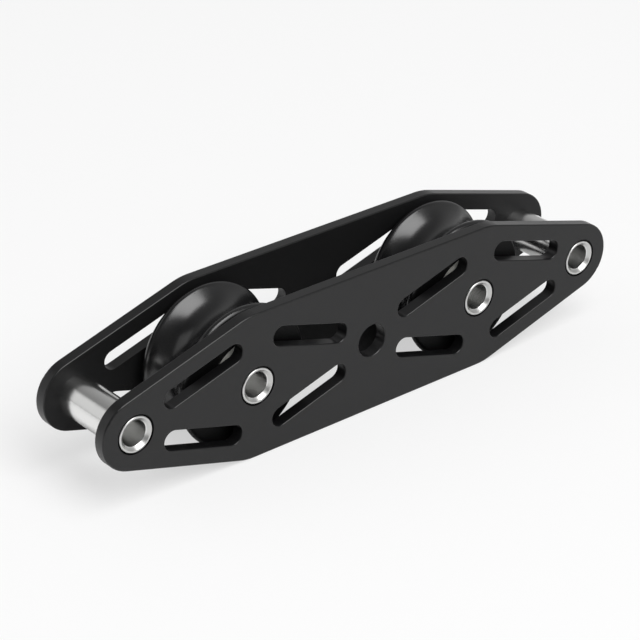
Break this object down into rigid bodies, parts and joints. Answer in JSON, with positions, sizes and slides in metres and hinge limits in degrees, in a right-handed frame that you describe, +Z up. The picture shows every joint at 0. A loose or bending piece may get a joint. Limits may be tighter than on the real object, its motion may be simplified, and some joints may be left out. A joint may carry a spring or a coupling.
{
  "type": "rope deck organizer",
  "caption": "Deck organizer: slotted side plates on hollow bolt-through pins, with grooved rope sheaves turning on roller bearings between them.",
  "frame": {"origin": "on the surface it stands on, under the middle of the organizer: halfway along the plates and midway between them", "axes": "+X along the plates, +Y along the pins and axles from the front plate to the rear plate that lies on the deck, +Z up"},
  "size_m": [0.2034, 0.033, 0.0488],
  "materials": {
    "plate_aluminium": "satin black anodised",
    "pin_steel": "bright turned stainless steel",
    "sheave_aluminium": "smooth semi-gloss black anodised",
    "roller_plastic": "smooth engineering plastic",
    "cage_plastic": "matte black",
    "washer_plastic": "smooth off-white"
  },
  "bodies": {
    "frame": {"front_plate": "plate_aluminium", "rear_plate": "plate_aluminium", "left_end_pin": "pin_steel", "right_end_pin": "pin_steel", "left_axle": "pin_steel", "right_axle": "pin_steel", "left_front_washer": "washer_plastic", "left_rear_washer": "washer_plastic", "right_front_washer": "washer_plastic", "right_rear_washer": "washer_plastic"},
    "left_sheave": {"left_sheave": "sheave_aluminium", "left_front_cap": "cage_plastic", "left_rear_cap": "cage_plastic"},
    "right_sheave": {"right_sheave": "sheave_aluminium", "right_front_cap": "cage_plastic", "right_rear_cap": "cage_plastic"},
    "left_roller_set": {"left_rollers": "roller_plastic", "left_roller_cage": "cage_plastic"},
    "right_roller_set": {"right_rollers": "roller_plastic", "right_roller_cage": "cage_plastic"}
  },
  "joints": [
    {"name": "left_sheave_spin", "type": "hinge", "parent": "frame", "child": "left_sheave", "pos_m": [-0.045, 0, 0.0244], "axis": [0, 1, 0], "continuous": true},
    {"name": "right_sheave_spin", "type": "hinge", "parent": "frame", "child": "right_sheave", "pos_m": [0.045, 0, 0.0244], "axis": [0, 1, 0], "continuous": true},
    {"name": "left_roller_orbit", "type": "hinge", "parent": "frame", "child": "left_roller_set", "pos_m": [-0.045, 0, 0.0244], "axis": [0, 1, 0], "continuous": true},
    {"name": "right_roller_orbit", "type": "hinge", "parent": "frame", "child": "right_roller_set", "pos_m": [0.045, 0, 0.0244], "axis": [0, 1, 0], "continuous": true}
  ],
  "couplings": [
    {"joint": "left_roller_orbit", "follows": "left_sheave_spin", "ratio": 0.6199},
    {"joint": "right_roller_orbit", "follows": "right_sheave_spin", "ratio": 0.6199}
  ]
}
